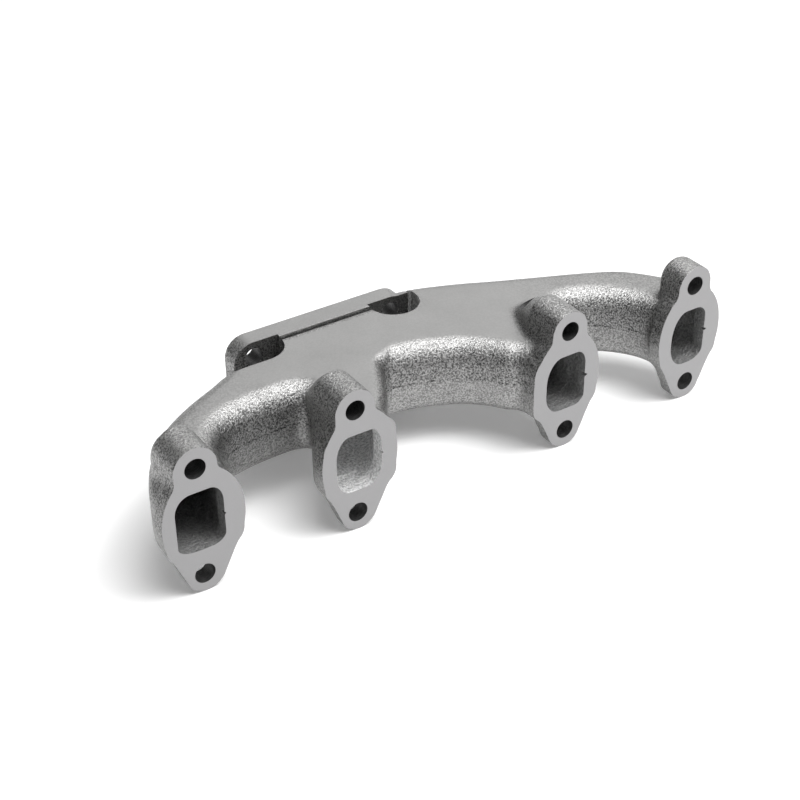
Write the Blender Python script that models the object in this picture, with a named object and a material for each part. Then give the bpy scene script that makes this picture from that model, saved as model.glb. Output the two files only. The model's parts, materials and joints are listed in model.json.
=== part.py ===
"""A cast-iron turbo exhaust manifold for a four-cylinder engine, modelled as the sections of its casting.

The design frame has x along the row of ports, y away from the cylinder head and z up. Its zero is on the
head face, midway between ports 2 and 3 and midway between the two studs of a port. An empty carries the
sections, and puts the middle of the underside at the world's origin.
"""

import math

import bmesh
import bpy
from mathutils import Vector

MM = 0.001
GAP = 0.3 * MM  # between two sections that meet

# Ports and studs
PORT_PITCH = 88.0 * MM  # ports 1 to 2 and 3 to 4
CENTRE_PITCH = 134.5 * MM  # ports 2 to 3
STUD_PITCH = 62.9 * MM  # the two studs of a port, one above the other
STUD_HOLE = 11.2 * MM
PORT_WIDTH = 26.0 * MM
PORT_HEIGHT = 34.4 * MM
PORT_CORNER = 10.0 * MM
BODY_SHIFT = (2.2 * MM, 2.2 * MM, -0.5 * MM, -0.5 * MM)  # port centre from its stud line, per port
PORT_SHIFT = (-2.0 * MM, -0.5 * MM, -0.6 * MM, -1.2 * MM)  # port openings from the middles of their flanges

# Port flanges
FLANGE_THICK = 10.0 * MM
FLANGE_HALF_WIDTH = 22.3 * MM
FLANGE_HALF_HEIGHT = 31.0 * MM  # of the oval, which the tip and the boss cut off
FLANGE_TAPER_START = -13.0 * MM  # height where the straight sides of the tip leave the oval
TIP_RADIUS = 10.8 * MM
BOSS_RADIUS = 11.6 * MM
RIDGE_START = 22.0 * MM  # where the top of a boss starts to fall back to the runner
RIDGE_END = (36.0 * MM, 44.0 * MM, 55.0 * MM, 0.0)  # per port; 0 is a boss that ends in the open
RIDGE_DRIFT = (0.0, 3.0 * MM, 10.0 * MM, 0.0)  # sideways, towards the middle of the runner's sweep
RIDGE_STEPS = ((0.35, 0.85, 0.68), (0.7, 0.6, 0.32), (1.0, 0.3, 0.05))  # share of length, of width, of height
OPEN_BOSS_END = 18.0 * MM

# Runners and collector
RUNNER_HALF_WIDTH = 21.0 * MM
BODY_HALF_HEIGHT = 21.0 * MM
EDGE_RADIUS = 12.0 * MM
SIDE_WALL = 7.0 * MM
PASSAGE_HALF_HEIGHT = 16.5 * MM
PASSAGE_EDGE = 8.0 * MM
OVERRUN = 15.0 * MM  # how far an outline or a cutter passes the face that it is cut by
SCALLOP_DEPTH = 47.0 * MM  # front wall of the collector between two ports
RUNNER_2_LENGTH = 40.0 * MM
RUNNER_3_LENGTH = 30.0 * MM
RUNNER_1_REACH = 28.0 * MM  # inner end of runner 1, from its inner wall at the port
RUNNER_4_REACH = 24.0 * MM

# Plan of the walls. The bends are in mm from the outer side of ports 1 and 4, the back wall in shares of the turbo
# flange's length and mm in front of its face, and each scallop in shares of its width and of its depth.
LEFT_BEND = ((0, 12), (5, 28), (13.5, 44), (28, 59.5), (47.5, 71.5), (69, 82))
BACK_WALL = ((-0.5, 14), (-0.27, 1.2), (0.0, 0.5), (0.25, 0.5), (0.5, 0.5))
RIGHT_BEND = ((-118, 100), (-94, 89), (-70, 78.5), (-45, 67.5), (-27, 57.5), (-14.5, 44), (-4.5, 28), (0, 12))
RIGHT_SCALLOP = ((1.02, 0.22), (0.9, 0.52), (0.66, 0.77), (0.46, 0.88), (0.25, 0.92), (0.06, 0.85), (-0.05, 0.66))
RIGHT_SCALLOP += ((-0.04, 0.4), (0, 0.2))
MIDDLE_SCALLOP = ((0.98, 0.2), (0.91, 0.36), (0.84, 0.54), (0.74, 0.71), (0.63, 0.82), (0.5, 0.92), (0.35, 0.99))
MIDDLE_SCALLOP += ((0.26, 0.98), (0.21, 0.84), (0.11, 0.48), (0.01, 0.18))
LEFT_SCALLOP = ((1, 0.2), (1.13, 0.47), (1.28, 0.72), (1.36, 0.9), (1.25, 0.99), (0.95, 1), (0.6, 0.97), (0.3, 0.88))
LEFT_SCALLOP += ((0.1, 0.66), (0.03, 0.42), (0, 0.2))

# Turbo flange
PLATE_CENTRE = -27.2 * MM
PLATE_LENGTH = 112.0 * MM
PLATE_THICK = 14.5 * MM
PLATE_FACE = 110.0 * MM  # turbo joint face, from the head face
PLATE_RISE = 0.8 * MM  # top edge of the plate above the collector's flat top
PLATE_CORNER = 12.0 * MM
BOLT_SPAN = 87.5 * MM
BOLT_EDGE = 9.0 * MM  # bolt centre in from the upper and the lower edge
BOLT_HOLE = 10.5 * MM
OUTLET_WIDTH = 50.0 * MM
OUTLET_HEIGHT = 40.0 * MM
OUTLET_CORNER = 14.0 * MM
POCKET_RADIUS = 15.0 * MM  # spanner room round an upper turbo nut
POCKET_DEPTH = 15.5 * MM  # in front of the plate
SPOT_DEPTH = 4.0 * MM  # the same pocket sunk into the plate, as the nut's seat
NECK_WALL = 4.5 * MM
NECK_DEPTH = 34.0 * MM  # the scoop under the collector, in front of the plate

ARC_STEPS = 14
SPLINE_STEPS = 3

# Worked out from the sizes above
X_IN = CENTRE_PITCH / 2
X_OUT = X_IN + PORT_PITCH
STUD_X = (-X_OUT, -X_IN, X_IN, X_OUT)
BODY_X = tuple(x + shift for x, shift in zip(STUD_X, BODY_SHIFT))
STUD_Z = STUD_PITCH / 2
BOTTOM = -STUD_Z - TIP_RADIUS
PLATE_TOP = BODY_HALF_HEIGHT + PLATE_RISE
PLATE_FRONT = PLATE_FACE - PLATE_THICK
PLATE_MIDDLE = (PLATE_TOP + BOTTOM) / 2
BOLT_X = (PLATE_CENTRE - BOLT_SPAN / 2, PLATE_CENTRE + BOLT_SPAN / 2)
BOLT_Z = (PLATE_TOP - BOLT_EDGE, BOTTOM + BOLT_EDGE)
OUTLET_BOTTOM = PLATE_MIDDLE - OUTLET_HEIGHT / 2
RUNNER_1_END = BODY_X[0] + RUNNER_HALF_WIDTH + RUNNER_1_REACH
RUNNER_4_END = BODY_X[3] - RUNNER_HALF_WIDTH - RUNNER_4_REACH
LEFT = BODY_X[0] - FLANGE_HALF_WIDTH
RIGHT = BODY_X[3] + FLANGE_HALF_WIDTH
MIDDLE_OF_BOTTOM = Vector(((LEFT + RIGHT) / 2, PLATE_FACE / 2, BOTTOM))


def clear_scene():
    for obj in list(bpy.data.objects):
        bpy.data.objects.remove(obj, do_unlink=True)


def material(name, colour, roughness, metallic):
    made = bpy.data.materials.new(name)
    made.use_nodes = True
    shader = made.node_tree.nodes["Principled BSDF"]
    shader.inputs["Base Color"].default_value = (*colour, 1.0)
    shader.inputs["Roughness"].default_value = roughness
    shader.inputs["Metallic"].default_value = metallic
    return made


def place(name, bm, carrier, skin=None):
    """An object from a bmesh, on the carrier. Without a skin it is a cutter, which no render shows."""
    bmesh.ops.recalc_face_normals(bm, faces=bm.faces[:])
    mesh = bpy.data.meshes.new(name)
    bm.to_mesh(mesh)
    bm.free()
    obj = bpy.data.objects.new(name, mesh)
    obj.parent = carrier
    bpy.context.scene.collection.objects.link(obj)
    if skin is None:
        obj.hide_render = True
        obj.display_type = "WIRE"
    else:
        mesh.materials.append(skin)
        mesh.shade_smooth()
        mesh.set_sharp_from_angle(angle=math.radians(35))
    return obj


def cut(obj, other, operation="DIFFERENCE"):
    modifier = obj.modifiers.new(other.name, "BOOLEAN")
    modifier.operation = operation
    modifier.object = other


# Outlines


def arc(centre, radius, start, end, steps=ARC_STEPS):
    """Points on an arc, from one angle in degrees to another."""
    points = []
    for step in range(steps + 1):
        angle = math.radians(start + (end - start) * step / steps)
        points.append((centre[0] + radius * math.cos(angle), centre[1] + radius * math.sin(angle)))
    return points


def rounded_rectangle(centre, width, height, corner):
    points = []
    for quarter, (side, up) in enumerate(((1, 1), (-1, 1), (-1, -1), (1, -1))):
        x = centre[0] + side * (width / 2 - corner)
        z = centre[1] + up * (height / 2 - corner)
        points += arc((x, z), corner, 90 * quarter, 90 * quarter + 90, ARC_STEPS // 2)
    return points


def spline(points):
    """A smooth curve through the points. Its first and last stretches are straight."""
    smooth = [Vector(points[0])]
    for i in range(1, len(points) - 2):
        before, here, after, beyond = (Vector(points[i + k]) for k in (-1, 0, 1, 2))
        for step in range(SPLINE_STEPS):
            t = step / SPLINE_STEPS
            pull = (after - before) * t + (before * 2 - here * 5 + after * 4 - beyond) * t**2
            pull += (here * 3 - before - after * 3 + beyond) * t**3
            smooth.append(here + pull / 2)
    return smooth + [Vector(points[-2]), Vector(points[-1])]


def inset(points, distance):
    """The clockwise outline moved inwards by a distance."""
    moved = []
    count = len(points)
    for i in range(count):
        here = Vector(points[i])
        back = (here - Vector(points[i - 1])).normalized()
        ahead = (Vector(points[(i + 1) % count]) - here).normalized()
        normal = Vector((back.y + ahead.y, -back.x - ahead.x)).normalized()
        lean = max(normal.dot(Vector((ahead.y, -ahead.x))), 0.5)
        moved.append(here + normal * (distance / lean))
    return moved


def outer_wall():
    """The back of the casting in plan, from port 1's outer side to port 4's."""
    left = BODY_X[0] - RUNNER_HALF_WIDTH
    right = BODY_X[3] + RUNNER_HALF_WIDTH
    points = [(left, -OVERRUN)]
    points += [(left + x * MM, y * MM) for x, y in LEFT_BEND]
    points += [(PLATE_CENTRE + share * PLATE_LENGTH, PLATE_FACE - y * MM) for share, y in BACK_WALL]
    points += [(right + x * MM, y * MM) for x, y in RIGHT_BEND]
    return points + [(right, -OVERRUN)]


def scallop(between, shape):
    """The front wall between two neighbouring ports, from the right one to the left one."""
    start = BODY_X[between] + RUNNER_HALF_WIDTH
    width = BODY_X[between + 1] - RUNNER_HALF_WIDTH - start
    points = [(start + share * width, depth * SCALLOP_DEPTH) for share, depth in shape]
    return [(start + width, -OVERRUN)] + points + [(start, -OVERRUN)]


def casting_outline():
    """Runners and collector in plan: each runner sweeps towards the turbo flange."""
    runs = [outer_wall()]
    runs += [scallop(between, shape) for between, shape in ((2, RIGHT_SCALLOP), (1, MIDDLE_SCALLOP), (0, LEFT_SCALLOP))]
    return [point for run in runs for point in spline(run)]


def flange_outline(port):
    """A port flange seen from the head: boss above, oval round the port, tapered tip below."""
    stud = STUD_X[port]
    body = BODY_X[port]
    tip = stud + 0.4 * (body - stud)
    taper = math.degrees(math.asin(-FLANGE_TAPER_START / FLANGE_HALF_HEIGHT))
    points = arc((stud, STUD_Z), BOSS_RADIUS, 0, 180)
    for side in (-1, 1):
        reach = abs(stud + side * BOSS_RADIUS - body) / FLANGE_HALF_WIDTH
        notch = math.degrees(math.acos(reach))
        oval = []
        for step in range(ARC_STEPS):
            angle = math.radians(notch - (notch + taper) * step / (ARC_STEPS - 1))
            x = body + side * FLANGE_HALF_WIDTH * math.cos(angle)
            oval.append((x, FLANGE_HALF_HEIGHT * math.sin(angle)))
        if side < 0:
            points += oval + arc((tip, -STUD_Z), TIP_RADIUS, 208, 332)
        else:
            points += reversed(oval)
    return points


# Solids


def loft(rings):
    """A closed body through rings that have the same number of points."""
    bm = bmesh.new()
    loops = [[bm.verts.new(point) for point in ring] for ring in rings]
    for lower, upper in zip(loops, loops[1:]):
        for i in range(len(lower)):
            bm.faces.new((lower[i - 1], lower[i], upper[i], upper[i - 1]))
    bm.faces.new(loops[0])
    bm.faces.new(loops[-1])
    return bm


def upright(points, start, end):
    """An outline in x and z, extruded along y."""
    return loft([[(x, y, z) for x, z in points] for y in (start, end)])


def rounded_slab(outline, half_height, radius, steps=3):
    """An outline in x and y, extruded along z, with rounded upper and lower edges."""
    levels = []
    for step in range(steps + 1):
        angle = math.radians(90 * step / steps)
        levels.append((half_height - radius * (1 - math.cos(angle)), radius * (1 - math.sin(angle))))
    levels += [(-z, depth) for z, depth in reversed(levels)]
    return loft([[(p.x, p.y, z) for p in inset(outline, depth)] for z, depth in levels])


def box(low, high):
    corners = ((low[0], low[1]), (high[0], low[1]), (high[0], high[1]), (low[0], high[1]))
    return loft([[(x, y, z) for x, y in corners] for z in (low[2], high[2])])


def rods(places, diameter, start, end):
    """Round bars along y, joined into one cutter."""
    bm = bmesh.new()
    for x, z in places:
        rod = upright(arc((x, z), diameter / 2, 0, 360 - 360 / 24, 23), start, end)
        mesh = bpy.data.meshes.new("rod")
        rod.to_mesh(mesh)
        rod.free()
        bm.from_mesh(mesh)
        bpy.data.meshes.remove(mesh)
    return bm


# Sub-parts


def make_cutters(carrier):
    far = PLATE_FACE + OVERRUN
    studs = [(x, z) for x in STUD_X for z in (STUD_Z, -STUD_Z)]
    bolts = [(x, z) for x in BOLT_X for z in BOLT_Z]
    cutters = {
        "studs": rods(studs, STUD_HOLE, -OVERRUN, max(RIDGE_END) + OVERRUN),
        "bolts": rods(bolts, BOLT_HOLE, PLATE_FRONT - OVERRUN, far),
    }
    outline = casting_outline()
    cutters["passages"] = rounded_slab(inset(outline, SIDE_WALL), PASSAGE_HALF_HEIGHT, PASSAGE_EDGE)
    half_outlet = OUTLET_WIDTH / 2
    pocket_front = PLATE_FRONT - POCKET_DEPTH
    wall = SIDE_WALL / 2
    cutters["left_island"] = box(
        (LEFT, pocket_front - wall, -BODY_HALF_HEIGHT - OVERRUN),
        (PLATE_CENTRE - half_outlet, far, BODY_HALF_HEIGHT + OVERRUN),
    )
    cutters["right_island"] = box(
        (PLATE_CENTRE + half_outlet, pocket_front - wall, -BODY_HALF_HEIGHT - OVERRUN),
        (BOLT_X[1] + POCKET_RADIUS + wall, far, BODY_HALF_HEIGHT + OVERRUN),
    )
    cutters["scoop_mouth"] = box(
        (PLATE_CENTRE - half_outlet, PLATE_FRONT - NECK_DEPTH + 2 * SIDE_WALL, -BODY_HALF_HEIGHT - OVERRUN),
        (PLATE_CENTRE + half_outlet, far, 0.0),
    )
    for side, x in zip(("left", "right"), BOLT_X):
        centre = (x, pocket_front + POCKET_RADIUS)
        seat = PLATE_FRONT + SPOT_DEPTH
        shape = [(x + POCKET_RADIUS, seat), (x - POCKET_RADIUS, seat)] + arc(centre, POCKET_RADIUS, 180, 360)
        if side == "left":
            shape = [(x + POCKET_RADIUS, seat), (LEFT, seat), (LEFT, pocket_front)]
            shape += arc(centre, POCKET_RADIUS, 270, 360, ARC_STEPS // 2)
        levels = (BOLT_Z[0] - POCKET_RADIUS, PLATE_TOP + OVERRUN)
        cutters[side + "_pocket"] = loft([[(x, y, z) for x, y in shape] for z in levels])
    plate_end = max(PLATE_CENTRE + PLATE_LENGTH / 2, BOLT_X[1] + POCKET_RADIUS) + GAP
    cutters["plate_room"] = box(
        (LEFT, PLATE_FRONT - GAP, -BODY_HALF_HEIGHT - OVERRUN), (plate_end, far, BODY_HALF_HEIGHT + OVERRUN)
    )
    made = {name: place(name + "_cutter", bm, carrier) for name, bm in cutters.items()}
    cut(made["passages"], made["left_island"])
    cut(made["passages"], made["right_island"])
    return made


def make_zones(carrier):
    """The stretch of the casting that each section takes."""
    front = FLANGE_THICK + GAP
    back = PLATE_FACE + OVERRUN
    half = GAP / 2
    left = LEFT - OVERRUN
    right = RIGHT + OVERRUN
    high = BODY_HALF_HEIGHT + OVERRUN
    split = (BODY_X[1] + BODY_X[2]) / 2
    corners = (
        (RUNNER_1_END + half, RUNNER_2_LENGTH + half),
        (split, RUNNER_2_LENGTH + half),
        (split, RUNNER_3_LENGTH + half),
        (RUNNER_4_END - half, RUNNER_3_LENGTH + half),
        (RUNNER_4_END - half, back),
        (RUNNER_1_END + half, back),
    )
    zones = {
        "runner_1": box((left, front, -high), (RUNNER_1_END - half, back, high)),
        "runner_2": box((RUNNER_1_END + half, front, -high), (split, RUNNER_2_LENGTH - half, high)),
        "runner_3": box((split, front, -high), (RUNNER_4_END - half, RUNNER_3_LENGTH - half, high)),
        "runner_4": box((RUNNER_4_END + half, front, -high), (right, back, high)),
        "collector": loft([[(x, y, z) for x, y in corners] for z in (-high, high)]),
    }
    return {name: place(name + "_zone", bm, carrier) for name, bm in zones.items()}


def make_body(carrier, cutters, skin):
    """The collector and its four runners, with the gas passages inside."""
    for name, zone in make_zones(carrier).items():
        section = place(name, rounded_slab(casting_outline(), BODY_HALF_HEIGHT, EDGE_RADIUS), carrier, skin)
        cut(section, zone, "INTERSECT")
        cut(section, cutters["passages"])
        if name == "collector":
            for cutter in ("plate_room", "left_pocket", "right_pocket", "scoop_mouth"):
                cut(section, cutters[cutter])


def make_port_flange(port, carrier, cutters, skin):
    flange = place(f"port_flange_{port + 1}", upright(flange_outline(port), 0.0, FLANGE_THICK), carrier, skin)
    opening = rounded_rectangle((BODY_X[port] + PORT_SHIFT[port], 0.0), PORT_WIDTH, PORT_HEIGHT, PORT_CORNER)
    mouth = place(f"port_{port + 1}_cutter", upright(opening, -OVERRUN, FLANGE_THICK + OVERRUN), carrier)
    cut(flange, mouth)
    cut(flange, cutters["studs"])


def make_stud_boss(port, carrier, cutters, skin):
    """The upper boss of a port behind its flange, and the ridge that falls from it to the runner's top."""
    base = BODY_HALF_HEIGHT + GAP
    height = STUD_Z + BOSS_RADIUS - base
    start = FLANGE_THICK + GAP
    end = RIDGE_END[port]
    rings = [(start, 0.0, 1.0, 1.0), (RIDGE_START if end else OPEN_BOSS_END, 0.0, 1.0, 1.0)]
    if end:
        for along, width, tall in RIDGE_STEPS:
            rings.append((RIDGE_START + along * (end - RIDGE_START), along * RIDGE_DRIFT[port], width, tall))
    profile = arc((0.0, STUD_Z), BOSS_RADIUS, 0, 180)
    profile = [(BOSS_RADIUS, base)] + profile + [(-BOSS_RADIUS, base)]
    solid = []
    for y, drift, width, tall in rings:
        centre = STUD_X[port] + drift
        solid.append([(centre + x * width, y, base + (z - base) * tall) for x, z in profile])
    cut(place(f"stud_boss_{port + 1}", loft(solid), carrier, skin), cutters["studs"])


def make_turbo_neck(carrier, skin):
    """The scoop under the collector that brings the gas down to the turbo flange's outlet."""
    half = OUTLET_WIDTH / 2
    low = OUTLET_BOTTOM - NECK_WALL
    high = -BODY_HALF_HEIGHT - GAP
    back = PLATE_FRONT - GAP
    front = back - NECK_DEPTH
    foot = front + (high - low)

    def trough(width, profile):
        sides = [[(PLATE_CENTRE + side * width, y, z) for y, z in profile] for side in (-1, 1)]
        return loft(sides)

    outside = ((front, high), (foot, low), (back, low), (back, high))
    inside = (
        (front + 2 * SIDE_WALL, high + OVERRUN),
        (front + 2 * SIDE_WALL, high),
        (foot + 2 * SIDE_WALL - NECK_WALL, OUTLET_BOTTOM),
        (back + OVERRUN, OUTLET_BOTTOM),
        (back + OVERRUN, high + OVERRUN),
    )
    neck = place("turbo_neck", trough(half + NECK_WALL, outside), carrier, skin)
    cut(neck, place("scoop_cutter", trough(half, inside), carrier))


def make_turbo_flange(carrier, cutters, skin):
    height = PLATE_TOP - BOTTOM
    outline = rounded_rectangle((PLATE_CENTRE, PLATE_MIDDLE), PLATE_LENGTH, height, PLATE_CORNER)
    plate = place("turbo_flange", upright(outline, PLATE_FRONT, PLATE_FACE), carrier, skin)
    opening = rounded_rectangle((PLATE_CENTRE, PLATE_MIDDLE), OUTLET_WIDTH, OUTLET_HEIGHT, OUTLET_CORNER)
    outlet = place("outlet_cutter", upright(opening, PLATE_FRONT - OVERRUN, PLATE_FACE + OVERRUN), carrier)
    for cutter in (outlet, cutters["bolts"], cutters["left_pocket"], cutters["right_pocket"]):
        cut(plate, cutter)


def main():
    clear_scene()
    cast_skin = material("cast_iron_skin", (0.33, 0.33, 0.33), 0.55, 0.85)
    smooth_skin = material("cast_iron_smooth", (0.38, 0.38, 0.385), 0.45, 0.85)
    machined = material("machined_iron", (0.47, 0.47, 0.475), 0.4, 0.9)
    carrier = bpy.data.objects.new("exhaust_manifold", None)
    carrier.location = -MIDDLE_OF_BOTTOM
    bpy.context.scene.collection.objects.link(carrier)
    cutters = make_cutters(carrier)
    make_body(carrier, cutters, cast_skin)
    for port in range(4):
        make_port_flange(port, carrier, cutters, machined)
        make_stud_boss(port, carrier, cutters, cast_skin)
    make_turbo_neck(carrier, smooth_skin)
    make_turbo_flange(carrier, cutters, machined)


main()
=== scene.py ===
import json
import math

import bmesh
import bpy
import numpy
from mathutils import Matrix, Vector

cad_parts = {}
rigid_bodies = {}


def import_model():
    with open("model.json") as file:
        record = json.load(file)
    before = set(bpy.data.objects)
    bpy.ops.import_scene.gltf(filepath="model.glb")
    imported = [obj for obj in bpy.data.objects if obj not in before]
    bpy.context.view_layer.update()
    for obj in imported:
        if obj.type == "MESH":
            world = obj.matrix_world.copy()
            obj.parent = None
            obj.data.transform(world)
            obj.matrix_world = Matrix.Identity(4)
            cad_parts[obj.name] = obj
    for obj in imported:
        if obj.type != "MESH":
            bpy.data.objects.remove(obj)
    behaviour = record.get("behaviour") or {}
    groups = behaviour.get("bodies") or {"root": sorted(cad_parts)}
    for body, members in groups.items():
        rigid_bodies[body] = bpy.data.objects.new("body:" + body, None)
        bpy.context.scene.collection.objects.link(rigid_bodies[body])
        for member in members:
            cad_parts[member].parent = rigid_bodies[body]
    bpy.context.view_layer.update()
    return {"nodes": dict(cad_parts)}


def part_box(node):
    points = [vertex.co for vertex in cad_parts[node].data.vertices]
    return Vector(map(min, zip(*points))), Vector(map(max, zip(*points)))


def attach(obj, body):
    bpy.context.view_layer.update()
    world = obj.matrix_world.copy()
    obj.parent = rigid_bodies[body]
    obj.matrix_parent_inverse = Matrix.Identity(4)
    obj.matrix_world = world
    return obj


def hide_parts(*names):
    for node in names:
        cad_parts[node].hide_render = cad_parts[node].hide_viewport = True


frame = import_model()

MM = 0.001

# Sizes of the casting, in mm, in the maker's frame: x along the ports, y away from the cylinder head, z up.
BOSS_RADIUS = 11.6
TIP_RADIUS = 10.8
FLANGE_THICK = 10.0
OVAL_HALF_HEIGHT = 31.0
TAPER_START = 13.0
STUD_HOLE = 11.2
# Each port's opening, from the middle of its flange: left, right, top, bottom, and the width and height of
# its corners, from the upper right one round to the lower right one.
PORT_OPENINGS = (
    (-15.0, 11.0, 17.9, -16.6, ((7, 9), (9, 10), (11, 5), (8, 6))),
    (-13.9, 12.9, 16.7, -17.5, ((6, 13), (8, 13), (8, 12), (9, 14))),
    (-13.7, 12.4, 16.6, -17.5, ((6, 9), (10, 15), (9, 12), (7, 6))),
    (-13.2, 11.0, 16.3, -18.4, ((7, 7), (10, 17), (10, 14), (10, 7))),
)
NOTCHES = (0.7, 1.0, 1.9, 1.8)  # how far the core's parting nick goes into each port's right edge
MIDDLE_OFFSET = 0.85  # from the maker's zero line to the middle between flanges 2 and 3
HALF_HEIGHT = 21.0
RUNNER_HALF_WIDTH = 21.0
SIDE_WALL = 7.0
PASSAGE_HALF_HEIGHT = 16.5
PASSAGE_EDGE = 8.0
SCALLOP_DEPTH = 47.0
UPPER_ROUNDING = 11.5
BACK_ROUNDING = 2.5  # added to the upper rounding where the wall faces the cylinder head
TIGHT_ROUNDING = 7.5
TIGHT_STRETCH = (-56.0, -12.0)  # the stretch along x where the upper edge is tighter
LOWER_ROUNDING = 9.5
FLANGE_ROUNDING = 1.6
BOSS_ROUNDING = 4.0
PLATE_ROUNDING = 1.5
NECK_ROUNDING = 4.0
POCKET_ROUNDING = 6.0
PLATE_THICK = 14.5
PLATE_CORNER = 12.0
BOLT_SPAN = 87.5
BOLT_EDGE = 9.0
BOLT_HOLE = 10.3
HOLE_LEAD = 6.0  # the drill comes in that far in front of the plate
OUTLET_WIDTH = 50.0
OUTLET_HEIGHT = 40.0
OUTLET_CORNER = 14.0
POCKET_RADIUS = 15.0
POCKET_DEPTH = 15.5
SPOT_DEPTH = 3.4
NECK_WALL = 4.5
NECK_DEPTH = 34.0
OPEN_BOSS = 3  # the last boss has no ridge
OPEN_BOSS_END = 18.0
ROOT_DEPTH = 6.0  # how far a boss goes into the runner's top
RIDGE_START = 22.0
RIDGE_END = (36.0, 44.0, 55.0)
RIDGE_DRIFT = (0.0, 3.0, 10.0)
# The ridge behind a boss: share of its length, of the boss's width and of the boss's height above the top.
RIDGE_STEPS = ((0.3, 0.92, 0.74), (0.55, 0.82, 0.45), (0.8, 0.72, 0.14), (1.0, 0.6, -0.2))
# Plan of the walls. The bends are in mm from the outer side of ports 1 and 4, and from the head face. The
# back wall is in shares of the plate's length from its middle, and in mm in front of its face. The scallops
# are in shares of the gap between two runners, and of the scallop's depth.
LEFT_BEND = ((0.5, 12), (6, 28), (15, 43.5), (29, 59), (48, 71.5), (69, 82))
BACK_WALL = ((-0.5, 14), (-0.27, 1.2), (0.0, 0.5), (0.25, 0.5), (0.5, 0.5))
RIGHT_BEND = ((-118, 100), (-94, 89), (-70, 78.5), (-45, 67.5), (-27, 57.5), (-14.5, 44), (-4.5, 28))
RIGHT_BEND += ((0, 12),)
RIGHT_SCALLOP = ((1.02, 0.22), (0.9, 0.52), (0.66, 0.77), (0.46, 0.88), (0.25, 0.92), (0.06, 0.85))
RIGHT_SCALLOP += ((-0.05, 0.66), (-0.04, 0.4), (0, 0.2))
MIDDLE_SCALLOP = ((0.98, 0.2), (0.91, 0.36), (0.84, 0.54), (0.74, 0.71), (0.63, 0.82), (0.5, 0.92))
MIDDLE_SCALLOP += ((0.35, 0.99), (0.26, 0.98), (0.21, 0.84), (0.11, 0.48), (0.01, 0.18))
LEFT_SCALLOP = ((1, 0.2), (1.13, 0.47), (1.28, 0.72), (1.36, 0.9), (1.25, 0.99), (0.95, 1))
LEFT_SCALLOP += ((0.6, 0.97), (0.3, 0.88), (0.1, 0.66), (0.03, 0.42), (0, 0.2))
# The open line at the plate's foot, seen from its end: mm behind the plate's front, and mm above mid-height.
SLIT_PROFILE = ((1.2, 15.5), (1.2, 30), (-6, 30), (-6, 21.03), (-2.4, 20.95), (-1.2, 20.6), (-0.4, 19.9))
SLIT_PROFILE += ((0, 18.8), (0.1, 15.5))

# Making of the casting
EDGE_RADIUS = 14.0  # widest rounding of the upper edges
VOXEL = 1.1
SKIM = 2.0  # stock on a face before it is machined
BEYOND = 15.0  # how far a cutter passes the metal
OVERLAP = 4.0  # how far one shape goes into the next
SIDEWAYS = 60.0  # clear of the metal along x
ABOVE = 40.0  # a level above all the metal
SAME_LEVEL = 0.01 * MM
CORNER_ANGLE = math.radians(-9)  # an inner corner sharper than this is filled
FILLET_ROUNDS = 8
SMOOTH_ANGLE = math.radians(40)

# How sandy the skin is, from 0 to 1
WALL_SAND = 1.0
LOWER_SAND = 0.75
TOP_SAND = 0.04
TOP_SAND_MOST = 0.6
TOP_SAND_GAIN = 0.5
TOP_SAND_FROM = (-80.0, 70.0)  # past these places along x, the flat top gets sandier
TOP_SAND_FADE = 60.0
TOP_FACING = 0.93  # a normal more upright than this is on the flat top
SAND_BORDER = 10  # rounds of blending between sandy and smooth

# The frame places everything: port faces, studs, turbo flange.
FLANGES = [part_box(f"port_flange_{n}") for n in (1, 2, 3, 4)]
BOSSES = [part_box(f"stud_boss_{n}") for n in (1, 2, 3, 4)]
PLATE_LOW, PLATE_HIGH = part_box("turbo_flange")
LOG_LOW, LOG_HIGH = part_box("collector")


def middle(span):
    return (span[0].x + span[1].x) / 2


HEAD_FACE = FLANGES[0][0].y
MID_LEVEL = (LOG_LOW.z + LOG_HIGH.z) / 2
MID_LENGTH = (middle(FLANGES[1]) + middle(FLANGES[2])) / 2 - MIDDLE_OFFSET * MM
ZERO = Vector((MID_LENGTH, HEAD_FACE, MID_LEVEL))
BODY_X = [(middle(span) - ZERO.x) / MM for span in FLANGES]
HALF_WIDTH = (FLANGES[0][1].x - FLANGES[0][0].x) / 2 / MM
STUD_Z = (FLANGES[0][1].z - ZERO.z) / MM - BOSS_RADIUS
STUD_X = [(span[0].x - ZERO.x) / MM + BOSS_RADIUS for span in BOSSES]
PLATE_FACE = (PLATE_HIGH.y - ZERO.y) / MM
PLATE_FRONT = PLATE_FACE - PLATE_THICK
PLATE_X = (middle((PLATE_LOW, PLATE_HIGH)) - ZERO.x) / MM
PLATE_LENGTH = (PLATE_HIGH.x - PLATE_LOW.x) / MM
PLATE_TOP = (PLATE_HIGH.z - ZERO.z) / MM
BOTTOM = (PLATE_LOW.z - ZERO.z) / MM
PLATE_MIDDLE = (PLATE_TOP + BOTTOM) / 2
BOLT_X = (PLATE_X - BOLT_SPAN / 2, PLATE_X + BOLT_SPAN / 2)
BOLT_Z = (PLATE_TOP - BOLT_EDGE, BOTTOM + BOLT_EDGE)


def at(x, y, z):
    """A place in the maker's frame, in metres in the part's frame."""
    return ZERO + Vector((x, y, z)) * MM


# ---- hand tools


def pick(*objs):
    """Selects the objects and makes the last one active."""
    bpy.ops.object.select_all(action="DESELECT")
    for obj in objs:
        obj.select_set(True)
    bpy.context.view_layer.objects.active = objs[-1]


def settle(obj):
    """Puts the object's place into its mesh."""
    pick(obj)
    bpy.ops.object.transform_apply(location=True, rotation=True, scale=True)
    return obj


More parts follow.
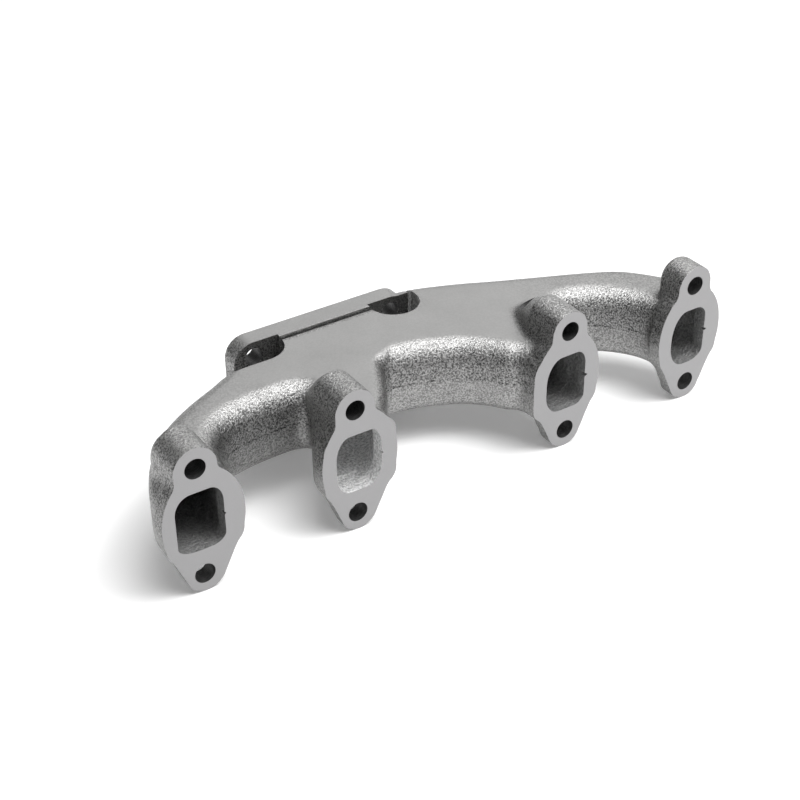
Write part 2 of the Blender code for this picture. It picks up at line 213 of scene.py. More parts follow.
def trace(name, points):
    """Draws an outline from one vertex and fills it. Edit mode stays on, with the face selected."""
    bpy.ops.object.select_all(action="DESELECT")
    bpy.ops.mesh.primitive_plane_add(size=MM, location=points[0])
    obj = bpy.context.object
    obj.name = name
    bpy.ops.object.mode_set(mode="EDIT")
    bpy.ops.mesh.merge(type="CENTER")
    for here, there in zip(points, points[1:]):
        bpy.ops.mesh.extrude_vertices_move(TRANSFORM_OT_translate={"value": there - here})
    bpy.ops.mesh.select_all(action="SELECT")
    bpy.ops.mesh.edge_face_add()
    return obj


def slab(name, points, *moves):
    """A traced outline, extruded by each move: a vector, or a vector with a scale and the scale's centre."""
    obj = trace(name, points)
    for move in moves:
        if isinstance(move, Vector):
            bpy.ops.mesh.extrude_region_move(TRANSFORM_OT_translate={"value": move})
            continue
        shift, scale, centre = move
        bpy.ops.mesh.extrude_region_move(TRANSFORM_OT_translate={"value": shift})
        bpy.ops.transform.resize(value=scale, center_override=centre)
    bpy.ops.mesh.select_all(action="SELECT")
    bpy.ops.mesh.normals_make_consistent(inside=False)
    bpy.ops.object.mode_set(mode="OBJECT")
    return settle(obj)


def flat_outline(points, y):
    """An outline in x and z, at y."""
    return [at(x, y, z) for x, z in points]


def plan_outline(points, z):
    """An outline in x and y, at z."""
    return [at(x, y, z) for x, y in points]


def along_x(distance):
    return Vector((distance * MM, 0, 0))


def along_y(distance):
    return Vector((0, distance * MM, 0))


def along_z(distance):
    return Vector((0, 0, distance * MM))


def block(name, low, high):
    """A rectangular block between two corners."""
    corners = ((low[0], low[1]), (high[0], low[1]), (high[0], high[1]), (low[0], high[1]))
    return slab(name, plan_outline(corners, low[2]), along_z(high[2] - low[2]))


def rod(name, x, z, diameter, start, end, sides=48):
    """A round bar along y."""
    bpy.ops.object.select_all(action="DESELECT")
    bpy.ops.mesh.primitive_cylinder_add(
        vertices=sides,
        radius=diameter / 2 * MM,
        depth=(end - start) * MM,
        location=at(x, (start + end) / 2, z),
        rotation=(math.radians(90), 0, 0),
    )
    obj = bpy.context.object
    obj.name = name
    return settle(obj)


def round_edges(obj, width, steps, chosen):
    """Bevels the edges that chosen(edge) gives a share of the width for."""
    mesh = obj.data
    form = bmesh.new()
    form.from_mesh(mesh)
    shares = [max(0.0, min(1.0, chosen(edge))) for edge in form.edges]
    form.free()
    weight = mesh.attributes.new("bevel_weight_edge", "FLOAT", "EDGE")
    weight.data.foreach_set("value", shares)
    bevel = obj.modifiers.new("rounding", "BEVEL")
    bevel.limit_method = "WEIGHT"
    bevel.width = width * MM
    bevel.segments = steps
    bevel.use_clamp_overlap = False
    pick(obj)
    bpy.ops.object.modifier_apply(modifier=bevel.name)
    return obj


def is_level(edge):
    return abs(edge.verts[0].co.z - edge.verts[1].co.z) < MM


def rim_at(y):
    """Chooses the edges that lie in the plane at y."""
    level = at(0, y, 0).y

    def chosen(edge):
        return 1.0 if all(abs(v.co.y - level) < SAME_LEVEL for v in edge.verts) else 0.0

    return chosen


def carve(obj, *cutters, solver="MANIFOLD"):
    """Cuts each cutter away, and uses it up. A cutter's material stays on what it has cut."""
    for cutter in cutters:
        knife = obj.modifiers.new(cutter.name, "BOOLEAN")
        knife.operation = "DIFFERENCE"
        knife.solver = solver
        knife.object = cutter
        if cutter.data.materials:
            knife.material_mode = "TRANSFER"
        pick(obj)
        bpy.ops.object.modifier_apply(modifier=knife.name)
        bpy.data.objects.remove(cutter, do_unlink=True)
    return obj


# ---- outlines, in mm


def arc(centre, radius, start, end, steps=16):
    """Points of an arc, from the start angle to the end angle in degrees."""
    points = []
    for step in range(steps + 1):
        angle = math.radians(start + (end - start) * step / steps)
        points.append((centre[0] + radius * math.cos(angle), centre[1] + radius * math.sin(angle)))
    return points


def rounded_rectangle(centre, width, height, corner):
    points = []
    for quarter, (side, up) in enumerate(((1, 1), (-1, 1), (-1, -1), (1, -1))):
        x = centre[0] + side * (width / 2 - corner)
        z = centre[1] + up * (height / 2 - corner)
        points += arc((x, z), corner, 90 * quarter, 90 * quarter + 90, 10)
    return points


def spline(points, steps):
    """A smooth curve through the points. Its first and last stretches are straight."""
    smooth = [Vector(points[0])]
    for i in range(1, len(points) - 2):
        before, here, after, beyond = (Vector(points[i + k]) for k in (-1, 0, 1, 2))
        for step in range(steps):
            t = step / steps
            pull = (after - before) * t + (before * 2 - here * 5 + after * 4 - beyond) * t**2
            pull += (here * 3 - before - after * 3 + beyond) * t**3
            smooth.append(here + pull / 2)
    return smooth + [Vector(points[-2]), Vector(points[-1])]


def inset(points, distance):
    """The clockwise outline moved inwards by a distance."""
    moved = []
    count = len(points)
    for i in range(count):
        here = points[i]
        back = (here - points[i - 1]).normalized()
        ahead = (points[(i + 1) % count] - here).normalized()
        normal = Vector((back.y + ahead.y, -back.x - ahead.x)).normalized()
        lean = max(normal.dot(Vector((ahead.y, -ahead.x))), 0.5)
        moved.append(here + normal * (distance / lean))
    return moved


def outer_wall():
    """The plan's back, from the left side of port 1 round to the right side of port 4."""
    left = BODY_X[0] - RUNNER_HALF_WIDTH
    right = BODY_X[3] + RUNNER_HALF_WIDTH
    points = [(left, -BEYOND)]
    points += [(left + x, y) for x, y in LEFT_BEND]
    points += [(PLATE_X + share * PLATE_LENGTH, PLATE_FACE - y) for share, y in BACK_WALL]
    points += [(right + x, y) for x, y in RIGHT_BEND]
    return points + [(right, -BEYOND)]


def scallop(between, shape):
    """The plan's hollow between two ports, from right to left."""
    start = BODY_X[between] + RUNNER_HALF_WIDTH
    width = BODY_X[between + 1] - RUNNER_HALF_WIDTH - start
    points = [(start + share * width, depth * SCALLOP_DEPTH) for share, depth in shape]
    return [(start + width, -BEYOND)] + points + [(start, -BEYOND)]


def casting_outline(steps=4):
    runs = [outer_wall(), scallop(2, RIGHT_SCALLOP), scallop(1, MIDDLE_SCALLOP), scallop(0, LEFT_SCALLOP)]
    return [point for run in runs for point in spline(run, steps)]


def flange_outline(port):
    """A port flange seen from the head: boss above, oval round the port, tapered tip below."""
    stud = STUD_X[port]
    body = BODY_X[port]
    tip = stud + 0.4 * (body - stud)
    taper = math.degrees(math.asin(TAPER_START / OVAL_HALF_HEIGHT))
    points = arc((stud, STUD_Z), BOSS_RADIUS, 0, 180, 28)
    for side in (-1, 1):
        notch = math.degrees(math.acos(abs(stud + side * BOSS_RADIUS - body) / HALF_WIDTH))
        oval = []
        for step in range(25):
            angle = math.radians(notch - (notch + taper) * step / 24)
            oval.append((body + side * HALF_WIDTH * math.cos(angle), OVAL_HALF_HEIGHT * math.sin(angle)))
        if side < 0:
            points += oval + arc((tip, -STUD_Z), TIP_RADIUS, 208, 332, 18)
        else:
            points += reversed(oval)
    return points


# ---- finishes


class Value:
    """A socket of a finish's nodes, on which Python's arithmetic adds Math nodes."""

    def __init__(self, finish, socket):
        self.finish = finish
        self.socket = socket

    def maths(self, operation, *values):
        return self.finish.node("ShaderNodeMath", {"operation": operation}, dict(enumerate(values)))

    def __add__(self, other):
        return self.maths("ADD", self, other)

    def __sub__(self, other):
        return self.maths("SUBTRACT", self, other)

    def __mul__(self, other):
        return self.maths("MULTIPLY", self, other)

    def __radd__(self, other):
        return self.maths("ADD", other, self)

    def __rsub__(self, other):
        return self.maths("SUBTRACT", other, self)

    def __rmul__(self, other):
        return self.maths("MULTIPLY", other, self)

    def above(self, low, high):
        """0 below low, 1 above high, smooth between."""
        settings = {"interpolation_type": "SMOOTHSTEP"}
        inputs = {"Value": self, "From Min": low, "From Max": high}
        return self.finish.node("ShaderNodeMapRange", settings, inputs)


class Finish:
    """A procedural material, built node by node on the object's own coordinates."""

    def __init__(self, name, **constants):
        self.material = bpy.data.materials.new(name)
        self.material.use_nodes = True
        self.tree = self.material.node_tree
        self.shader = self.tree.nodes["Principled BSDF"]
        for socket, value in constants.items():
            self.shader.inputs[socket.replace("_", " ")].default_value = value
        self.place = self.node("ShaderNodeTexCoord", output="Object")
        self.normal = self.node("ShaderNodeTexCoord", output="Normal")

    def node(self, kind, settings=None, inputs=None, output=0):
        made = self.tree.nodes.new(kind)
        for key, value in (settings or {}).items():
            setattr(made, key, value)
        for key, value in (inputs or {}).items():
            self.feed(made.inputs[key], value)
        return Value(self, made.outputs[output])

    def feed(self, socket, value):
        if isinstance(value, Value):
            self.tree.links.new(value.socket, socket)
        else:
            socket.default_value = value

    def drive(self, socket, value):
        self.feed(self.shader.inputs[socket], value)

    def noise(self, size, detail=2.0, rough=0.5, place=None):
        """Cloudy noise whose lumps are about size mm across."""
        inputs = {"Vector": place or self.place, "Scale": 1 / (size * MM)}
        inputs.update({"Detail": detail, "Roughness": rough})
        return self.node("ShaderNodeTexNoise", {"noise_dimensions": "3D"}, inputs)

    def part_of(self, vector, axis):
        return self.node("ShaderNodeSeparateXYZ", None, {"Vector": vector}, axis)

    def distance(self, axis, place):
        """Distance along an axis from a place on it."""
        offset = self.part_of(self.place, axis) - float(place)
        return offset.maths("ABSOLUTE", offset)

    def painted(self, name):
        return self.node("ShaderNodeAttribute", {"attribute_name": name}, output="Fac")

    def grey(self, value, tint=(1.0, 1.0, 1.0)):
        """A grey of that value, lightly tinted."""
        inputs = {"Factor": value, "A": (0, 0, 0, 1), "B": (*tint, 1.0)}
        return self.node("ShaderNodeMix", {"data_type": "RGBA"}, inputs, "Result")

    def bump(self, height, depth, strength=1.0):
        inputs = {"Height": height, "Distance": depth * MM, "Strength": strength}
        return self.node("ShaderNodeBump", None, inputs)


def sand_cast():
    """Grey iron as it left the sand: grainy walls, and a smoother skin where the mould was faced."""
    finish = Finish("sand_cast_iron", Metallic=1.0)
    sand = finish.painted("sand")
    grains = finish.noise(0.95, 3.0, 0.62)
    lumps = finish.noise(2.6, 2.0, 0.5)
    blotch = finish.noise(20.0, 2.0, 0.5)
    worn = finish.noise(8.0, 3.0, 0.6)
    finish.drive("Normal", finish.bump(grains + lumps * 0.4, 0.55, 0.04 + sand * 0.96))
    off_seam = finish.distance("Z", MID_LEVEL)
    seam = (1.0 - off_seam.above(0.15 * MM, 0.55 * MM)) * sand * worn.above(0.42, 0.58)
    speck = grains.above(0.36, 0.64) - 0.5
    # Painted highlight: sandy skin that faces upwards is painted lighter, standing in for the light that
    # falls on the tops.
    painted_top_light = finish.part_of(finish.normal, "Z").above(0.55, 1.0) * sand
    shade = 0.44 + (blotch - 0.5) * 0.08 - sand * 0.2 + painted_top_light * 0.18
    shade = shade + speck * (0.02 + sand * 0.3) - seam * 0.15
    shade = shade.maths("MAXIMUM", shade, 0.03)
    finish.drive("Base Color", finish.grey(shade, (1.0, 0.995, 0.985)))
    finish.drive("Roughness", 0.43 + (worn - 0.5) * 0.12)
    return finish.material


def machined():
    """A milled joint face: even, with very faint tool marks."""
    finish = Finish("milled_iron_face", Metallic=1.0)
    cloud = finish.noise(14.0, 3.0, 0.5)
    fine = finish.noise(0.5, 2.0, 0.5)
    shade = 0.325 + (cloud - 0.5) * 0.03 + (fine - 0.5) * 0.04
    finish.drive("Base Color", finish.grey(shade, (1.0, 0.99, 1.0)))
    finish.drive("Roughness", 0.45 + (cloud - 0.5) * 0.08)
    finish.drive("Normal", finish.bump(fine, 0.05, 0.3))
    return finish.material


def drilled():
    """The wall of a drilled hole, with fine rings of the drill. Its colour is painted very dark, a painted
    shade for the inside of the hole.
    """
    finish = Finish("drilled_hole_wall_painted_shade", Metallic=0.8)
    squash = finish.node("ShaderNodeMapping", None, {"Vector": finish.place, "Scale": (0.5, 2.0, 0.5)})
    rings = finish.noise(1.2, 2.0, 0.5, squash)
    # Painted shade: the hole's wall is painted nearly black for the shade inside the hole.
    finish.drive("Base Color", finish.grey(0.03 + rings * 0.12))
    finish.drive("Roughness", 0.45 + (rings - 0.5) * 0.2)
    finish.drive("Normal", finish.bump(rings, 0.5, 0.6))
    return finish.material


def cored():
    """The rough dark wall that a sand core leaves in a gas passage. The second runner's wall is painted
    lighter: a painted pool of light that falls in through its port.
    """
    finish = Finish("cored_passage_wall", Metallic=0.6)
    grains = finish.noise(1.3, 3.0, 0.62)
    lumps = finish.noise(5.0, 2.0, 0.5)
    # Painted light: near the second port the passage wall is painted lighter and more speckled, standing in
    # for light coming in through its mouth.
    port_2_painted_light = 1.0 - finish.distance("X", at(BODY_X[1] + 6, 0, 0).x).above(20 * MM, 34 * MM)
    shade = 0.28 + port_2_painted_light * 0.48 + (grains - 0.5) * (0.5 + port_2_painted_light * 1.2)
    finish.drive("Base Color", finish.grey(shade))
    finish.drive("Roughness", 0.5 + (lumps - 0.5) * 0.2)
    finish.drive("Normal", finish.bump(grains * 0.6 + lumps * 0.6, 1.4, 1.0))
    return finish.material


# ---- the raw casting


def opening_outline(port):
    """The mouth of a port: a rounded shape whose four corners are each a quarter of an ellipse."""
    left, right, top, bottom, corners = PORT_OPENINGS[port]
    centre = BODY_X[port]
    points = []
    for quarter, (wide, high) in enumerate(corners):
        x = centre + (right - wide if quarter in (0, 3) else left + wide)
        z = top - high if quarter < 2 else bottom + high
        for step in range(9):
            angle = math.radians(90 * quarter + 90 * step / 8)
            points.append((x + wide * math.cos(angle), z + high * math.sin(angle)))
    return points


def upper_radius(x, nx, ny):
    """Rounding of the upper edge at x on the outline, from the way the wall faces there.

    It is tight on the middle scallop's left side, which faces right.
    """
    if TIGHT_STRETCH[0] < x < TIGHT_STRETCH[1] and ny < 0.9 and nx > 0.3:
        return TIGHT_ROUNDING
    return UPPER_ROUNDING - BACK_ROUNDING * min(ny, 0.0)


def raw_body():
    """Runners and collector as one slab, with rounded upper and lower edges."""
    body = slab("body", plan_outline(casting_outline(), -HALF_HEIGHT), along_z(2 * HALF_HEIGHT))

    def share(edge):
        start, end = (v.co for v in edge.verts)
        walls = [face for face in edge.link_faces if abs(face.normal.z) < 0.5]
        if abs(start.z - end.z) > SAME_LEVEL or not walls:
            return 0.0
        if start.z < MID_LEVEL:
            return LOWER_ROUNDING / EDGE_RADIUS
        x = (middle((start, end)) - ZERO.x) / MM
        return upper_radius(x, walls[0].normal.x, walls[0].normal.y) / EDGE_RADIUS

    return round_edges(body, EDGE_RADIUS, 8, share)


def raw_flange(port):
    """A port flange, with stock on its joint face."""
    outline = flat_outline(flange_outline(port), -SKIM)
    flange = slab(f"flange_{port + 1}", outline, along_y(FLANGE_THICK + SKIM))
    return round_edges(flange, FLANGE_ROUNDING, 3, rim_at(FLANGE_THICK))


def raw_boss(port):
    """The upper boss behind a flange, and the ridge that falls from it to the runner's top."""
    x = STUD_X[port]
    profile = arc((x, STUD_Z), BOSS_RADIUS, 0, 180, 28)
    foot = HALF_HEIGHT - ROOT_DEPTH
    profile = [(x + BOSS_RADIUS, foot)] + profile + [(x - BOSS_RADIUS, foot)]
    start = -SKIM
    if port == OPEN_BOSS:
        boss = slab("boss_4", flat_outline(profile, start), along_y(OPEN_BOSS_END - start))
        return round_edges(boss, BOSS_ROUNDING, 5, rim_at(OPEN_BOSS_END))
    moves = [along_y(RIDGE_START - start)]
    tall = STUD_Z + BOSS_RADIUS - HALF_HEIGHT
    before, last_width, last_height = 0.0, 1.0, 1.0
    for along, wide, high in RIDGE_STEPS:
        step = (along - before) * (RIDGE_END[port] - RIDGE_START)
        drift = (along - before) * RIDGE_DRIFT[port]
        centre = at(x + along * RIDGE_DRIFT[port], RIDGE_START, foot)
        rise = (tall * high + ROOT_DEPTH) / (tall * last_height + ROOT_DEPTH)
        moves.append((Vector((drift, step, 0)) * MM, (wide / last_width, 1.0, rise), centre))
        before, last_width, last_height = along, wide, high
    return slab(f"boss_{port + 1}", flat_outline(profile, start), *moves)


def raw_plate():
    """The turbo flange, with stock on its joint face."""
    outline = rounded_rectangle((PLATE_X, PLATE_MIDDLE), PLATE_LENGTH, PLATE_TOP - BOTTOM, PLATE_CORNER)
    plate = slab("plate", flat_outline(outline, PLATE_FRONT), along_y(PLATE_THICK + SKIM))
    return round_edges(plate, PLATE_ROUNDING, 3, rim_at(PLATE_FRONT))


def raw_neck():
    """The scoop under the collector, in front of the plate's outlet."""
    half = OUTLET_WIDTH / 2 + NECK_WALL
    low = PLATE_MIDDLE - OUTLET_HEIGHT / 2 - NECK_WALL
    front = PLATE_FRONT - NECK_DEPTH
    foot = front - HALF_HEIGHT - low
    inside = PLATE_FRONT + OVERLAP
    top = OVERLAP - HALF_HEIGHT
    side = ((front, top), (front, -HALF_HEIGHT), (foot, low), (inside, low), (inside, top))
    outline = [at(PLATE_X - half, y, z) for y, z in side]
    neck = slab("neck", outline, along_x(2 * half))
    return round_edges(neck, NECK_ROUNDING, 4, lambda edge: 1.0 if edge.verts[0].co.z < LOG_LOW.z else 0.0)


def fuse(parts):
    """One continuous skin over all the parts."""
    pick(*parts)
    bpy.ops.object.join()
    casting = bpy.context.object
    casting.name = "casting"
    casting.data.remesh_voxel_size = VOXEL * MM
    casting.data.remesh_voxel_adaptivity = 0.0
    bpy.ops.object.voxel_remesh()
    return casting


def fill_corners(casting):
    """Softens the inner corners, as the fillets of a pattern do, but not at the plate's foot."""
    plate_foot = at(0, PLATE_FRONT - 6, HALF_HEIGHT - 6)
    pick(casting)
    bpy.ops.object.mode_set(mode="EDIT")
    bpy.ops.mesh.select_mode(type="VERT")
    for _ in range(FILLET_ROUNDS):
        form = bmesh.from_edit_mesh(casting.data)
        form.normal_update()
        for vert in form.verts:
            vert.select = False
        for edge in form.edges:
            spot = edge.verts[0].co
            if spot.y > plate_foot.y and spot.z > plate_foot.z:
                continue
            if len(edge.link_faces) == 2 and edge.calc_face_angle_signed() < CORNER_ANGLE:
                for vert in edge.verts:
                    vert.select = True
        form.select_flush(True)
        bmesh.update_edit_mesh(casting.data)
        bpy.ops.mesh.select_more()
        bpy.ops.mesh.vertices_smooth(factor=0.5, repeat=5)
    bpy.ops.object.mode_set(mode="OBJECT")


def relax(casting):
    """Takes the last small steps out of the skin."""
    pick(casting)
    bpy.ops.object.mode_set(mode="EDIT")
    bpy.ops.mesh.select_all(action="SELECT")
    bpy.ops.mesh.vertices_smooth(factor=0.5)
    bpy.ops.object.mode_set(mode="OBJECT")


def face_off(casting, y, outward):
    """Machines the casting flat at y, on the side that outward points to."""
    pick(casting)
    bpy.ops.object.mode_set(mode="EDIT")
    bpy.ops.mesh.select_all(action="SELECT")
    bpy.ops.mesh.bisect(
        plane_co=at(0, y, 0),
        plane_no=(0, outward, 0),
        use_fill=True,
        clear_outer=True,
        threshold=SAME_LEVEL,
    )
    bpy.ops.object.mode_set(mode="OBJECT")


def with_finish(obj, material):
    """Gives the whole object one material."""
    obj.data.materials.clear()
    obj.data.materials.append(material)
    return obj


def passages():
    """The cored gas passages: one log with four branches, clear of the nut pockets."""
    outline = plan_outline(inset(casting_outline(3), SIDE_WALL), -PASSAGE_HALF_HEIGHT)
    core = slab("core", outline, along_z(2 * PASSAGE_HALF_HEIGHT))
    core = round_edges(core, PASSAGE_EDGE, 5, lambda edge: 1.0 if is_level(edge) else 0.0)
    wall = SIDE_WALL / 2
    front = PLATE_FRONT - POCKET_DEPTH - wall
    far = PLATE_FACE + BEYOND
    deep = HALF_HEIGHT + BEYOND
    inner = (PLATE_X - OUTLET_WIDTH / 2, PLATE_X + OUTLET_WIDTH / 2)
    outer = (BODY_X[0] - BEYOND, BOLT_X[1] + POCKET_RADIUS + wall)
    stock = (BODY_X[0] - SIDEWAYS, BODY_X[3] + SIDEWAYS)
    carve(
        core,
        block("left_island", (outer[0], front, -deep), (inner[0], far, deep)),
        block("right_island", (inner[1], front, -deep), (outer[1], far, deep)),
        block("front_stock", (stock[0], -2 * BEYOND, -deep), (stock[1], FLANGE_THICK - SKIM, deep)),
        solver="EXACT",
    )
    return core


def port_mouth(port):
    outline = flat_outline(opening_outline(port), -BEYOND)
    return slab(f"mouth_{port + 1}", outline, along_y(BEYOND + FLANGE_THICK + OVERLAP))


def parting_nick(port):
    """The small nick that the core's parting leaves at the right edge of a port."""
    right = BODY_X[port] + PORT_OPENINGS[port][1]
    reach = NOTCHES[port]
    outline = ((right - 2, -1.9), (right + reach, -0.4), (right + reach * 0.7, 0.4), (right - 2, 1.8))
    return slab(f"nick_{port + 1}", flat_outline(outline, -BEYOND), along_y(BEYOND + 2.5))


def outlet_mouth():
    outline = rounded_rectangle((PLATE_X, PLATE_MIDDLE), OUTLET_WIDTH, OUTLET_HEIGHT, OUTLET_CORNER)
    front = PLATE_FRONT - 8
    return slab("outlet", flat_outline(outline, front), along_y(PLATE_FACE + BEYOND - front))


def scoop():
    """The room inside the neck, down to the lower edge of the outlet."""
    front = PLATE_FRONT - NECK_DEPTH
    low = PLATE_MIDDLE - OUTLET_HEIGHT / 2
    foot = front - HALF_HEIGHT - low + NECK_WALL
    back = PLATE_FRONT + 2
    side = ((front + 12, 0), (front + 12, -HALF_HEIGHT), (foot + 10, low), (back, low), (back, 0))
    half = OUTLET_WIDTH / 2 - 1
    return slab("scoop", [at(PLATE_X - half, y, z) for y, z in side], along_x(2 * half))


def nut_pocket(side):
    """Spanner room round an upper turbo nut, sunk from the top and a little into the plate.

    The left one is open to its left.
    """
    x = BOLT_X[side]
    front = PLATE_FRONT - POCKET_DEPTH
    seat = PLATE_FRONT + SPOT_DEPTH
    centre = (x, front + POCKET_RADIUS)
    low = BOLT_Z[0] - POCKET_RADIUS
    outline = [(x + POCKET_RADIUS, seat)]
    if side:
        outline += [(x - POCKET_RADIUS, seat)] + arc(centre, POCKET_RADIUS, 180, 360, 30)
    else:
        outline += [(x - SIDEWAYS, seat), (x - SIDEWAYS, front)] + arc(centre, POCKET_RADIUS, 270, 360)
    pocket = slab(f"pocket_{side + 1}", plan_outline(outline, low), along_z(ABOVE - low))
    floor = at(0, 0, low).z + MM

    def at_floor(edge):
        return 1.0 if max(v.co.z for v in edge.verts) < floor else 0.0

    return round_edges(pocket, POCKET_ROUNDING, 5, at_floor)


def plate_gap():
    """The open side of the right pocket, past the end of the plate."""
    low = (PLATE_X + PLATE_LENGTH / 2 + 0.1, PLATE_FRONT - 0.5, BOLT_Z[0] - POCKET_RADIUS)
    return block("gap", low, (BOLT_X[1] + POCKET_RADIUS - 0.1, PLATE_FACE + BEYOND, ABOVE))


def foot_slit():
    """The open line between the collector's top and the foot of the plate."""
    left = BOLT_X[0] + POCKET_RADIUS - 2
    right = BOLT_X[1] - POCKET_RADIUS + 2
    outline = [at(left, PLATE_FRONT + back, z) for back, z in SLIT_PROFILE]
    return slab("slit", outline, along_x(right - left))


def shape_casting(finishes):
    """Casts the rough shape, faces its joints, and cuts its openings."""
    parts = [raw_body(), raw_plate(), raw_neck()]
    parts += [raw_flange(port) for port in range(4)]
    parts += [raw_boss(port) for port in range(4)]
    casting = fuse(parts)
    fill_corners(casting)
    relax(casting)
    with_finish(casting, finishes["cast"])
    face_off(casting, 0.0, -1)
    face_off(casting, PLATE_FACE, 1)
    carve(casting, with_finish(foot_slit(), finishes["cast"]), with_finish(plate_gap(), finishes["cast"]))
    carve(casting, *[with_finish(nut_pocket(side), finishes["cast"]) for side in (0, 1)])
    carve(casting, with_finish(passages(), finishes["core"]))
    carve(casting, *[with_finish(port_mouth(port), finishes["core"]) for port in range(4)])
    carve(casting, *[with_finish(parting_nick(port), finishes["core"]) for port in range(4)])
    carve(casting, with_finish(outlet_mouth(), finishes["core"]), with_finish(scoop(), finishes["core"]))
    for port in range(4):
        far = OPEN_BOSS_END if port == OPEN_BOSS else RIDGE_END[port]
        for z, end in ((STUD_Z, far + BEYOND), (-STUD_Z, FLANGE_THICK + BEYOND)):
            hole = rod("stud_hole", STUD_X[port], z, STUD_HOLE, -BEYOND, end)
            carve(casting, with_finish(hole, finishes["drill"]))
    for x in BOLT_X:
        for z in BOLT_Z:
            hole = rod("bolt_hole", x, z, BOLT_HOLE, PLATE_FRONT - HOLE_LEAD, PLATE_FACE + BEYOND)
            carve(casting, with_finish(hole, finishes["drill"]))
    return casting


def sandiness(spot, up):
    """Walls and rounded edges are sandy, the underside is less so, and the flat top only at its ends."""
    on_plate = spot.y > PLATE_FRONT - 1 and spot.z > HALF_HEIGHT
    if up > TOP_FACING and (on_plate or abs(spot.z - HALF_HEIGHT) < 0.5):
        past = max(TOP_SAND_FROM[0] - spot.x, spot.x - TOP_SAND_FROM[1], 0.0)
        return min(TOP_SAND + TOP_SAND_GAIN * past / TOP_SAND_FADE, TOP_SAND_MOST)
    return LOWER_SAND if spot.z < -1.0 else WALL_SAND


def paint_sand(casting):
    """Paints how sandy the skin is at each vertex, with soft borders."""
    mesh = casting.data
    values = numpy.array([sandiness((vert.co - ZERO) / MM, vert.normal.z) for vert in mesh.vertices])
    ends = numpy.empty(len(mesh.edges) * 2, dtype=int)
    mesh.edges.foreach_get("vertices", ends)
    first, second = ends.reshape(-1, 2).T
    size = len(values)
    count = numpy.bincount(first, minlength=size) + numpy.bincount(second, minlength=size)
    for _ in range(SAND_BORDER):
        total = numpy.bincount(first, values[second], size) + numpy.bincount(second, values[first], size)
        values = (values + total / numpy.maximum(count, 1)) / 2
    paint = mesh.attributes.new("sand", "FLOAT", "POINT")
    paint.data.foreach_set("value", values.astype(numpy.float32))


def finish_faces(casting, milled):
    """The milled finish on the joint faces."""
    mesh = casting.data
    mesh.materials.append(milled)
    slot = len(mesh.materials) - 1
    head = at(0, 0, 0).y
    turbo = at(0, PLATE_FACE, 0).y
    for face in mesh.polygons:
        away = min(abs(face.center.y - head), abs(face.center.y - turbo))
        if abs(face.normal.y) > 0.999 and away < 2 * SAME_LEVEL:
            face.material_index = slot


def shade(obj):
    pick(obj)
    bpy.ops.object.shade_smooth_by_angle(angle=SMOOTH_ANGLE)


FINISHES = {"cast": sand_cast(), "mill": machined(), "drill": drilled(), "core": cored()}
casting = shape_casting(FINISHES)
paint_sand(casting)
finish_faces(casting, FINISHES["mill"])
shade(casting)
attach(casting, "root")
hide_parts(*frame["nodes"])


# ---- studio

CAMERA_AZIMUTH = math.radians(-32.844)
CAMERA_HEIGHT = math.radians(33.569)
CAMERA_ROLL = math.radians(-0.587)
CAMERA_PLACE = at(-396.0, -550.0, 462.3)
LENS = 70.55
SENSOR = 36.0
FLOOR_SIZE = 2.7  # metres
FLOOR_GREY = 0.9
FLOOR_GLOW = 0.16
ROOM_LIGHT = 0.22
BACKDROP = 1.2  # how bright the room looks from the camera


def paper_floor():
    """White paper under the part, bright enough to blend into the backdrop."""
    bpy.ops.object.select_all(action="DESELECT")
    bpy.ops.mesh.primitive_plane_add(size=FLOOR_SIZE, location=(0, 0, 0))
    floor = bpy.context.object
    floor.name = "floor"
    paper = Finish("white_paper", Roughness=0.9, Emission_Strength=FLOOR_GLOW)
    paper.drive("Base Color", (FLOOR_GREY, FLOOR_GREY, FLOOR_GREY, 1))
    paper.drive("Emission Color", (1, 1, 1, 1))
    with_finish(floor, paper.material)


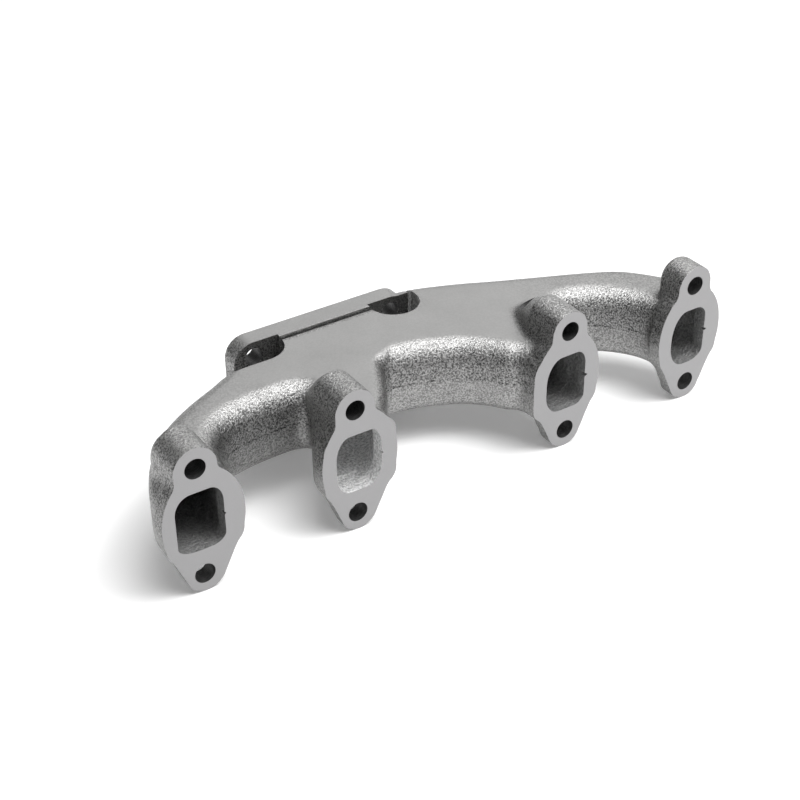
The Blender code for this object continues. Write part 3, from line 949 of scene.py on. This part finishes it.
def room():
    """Even light all round, and a brighter backdrop."""
    world = bpy.data.worlds.new("studio")
    bpy.context.scene.world = world
    world.use_nodes = True
    nodes = world.node_tree.nodes
    nodes["Background"].inputs["Color"].default_value = (1, 1, 1, 1)
    nodes["Background"].inputs["Strength"].default_value = ROOM_LIGHT
    seen = nodes.new("ShaderNodeBackground")
    seen.inputs["Strength"].default_value = BACKDROP
    ray = nodes.new("ShaderNodeLightPath")
    mix = nodes.new("ShaderNodeMixShader")
    link = world.node_tree.links.new
    link(ray.outputs["Is Camera Ray"], mix.inputs[0])
    link(nodes["Background"].outputs[0], mix.inputs[1])
    link(seen.outputs[0], mix.inputs[2])
    link(mix.outputs[0], nodes["World Output"].inputs[0])


def softbox(name, place, aim, width, height, power):
    """A rectangular lamp in metres and watts, turned to what it lights."""
    lamp = bpy.data.lights.new(name, "AREA")
    lamp.shape = "RECTANGLE"
    lamp.size = width
    lamp.size_y = height
    lamp.energy = power
    obj = bpy.data.objects.new(name, lamp)
    bpy.context.scene.collection.objects.link(obj)
    obj.location = place
    obj.rotation_euler = (Vector(aim) - Vector(place)).to_track_quat("-Z", "Y").to_euler()


def camera():
    """A camera on the left, above and in front, aimed by its azimuth, height and roll."""
    lens = bpy.data.cameras.new("camera")
    lens.lens = LENS
    lens.sensor_width = SENSOR
    obj = bpy.data.objects.new("camera", lens)
    bpy.context.scene.collection.objects.link(obj)
    az, el, roll = CAMERA_AZIMUTH, CAMERA_HEIGHT, CAMERA_ROLL
    back = Vector((math.sin(az) * math.cos(el), -math.cos(az) * math.cos(el), math.sin(el)))
    right = Vector((math.cos(az), math.sin(az), 0))
    up = back.cross(right)
    x = right * math.cos(roll) + up * math.sin(roll)
    y = up * math.cos(roll) - right * math.sin(roll)
    turn = Matrix((x, y, back)).transposed()
    obj.matrix_world = Matrix.Translation(CAMERA_PLACE) @ turn.to_4x4()
    bpy.context.scene.camera = obj


paper_floor()
room()
softbox("key", (0.3, -0.4, 1.6), (0, 0, 0), 1.5, 1.3, 30)
softbox("front", (0.5, -0.6, 1.3), (0, 0, 0), 0.6, 0.7, 9)
softbox("back", (1.3, 1.7, 1.3), (0, 0, 0.1), 2.6, 1.8, 11)
camera()
bpy.context.scene.view_settings.view_transform = "Standard"
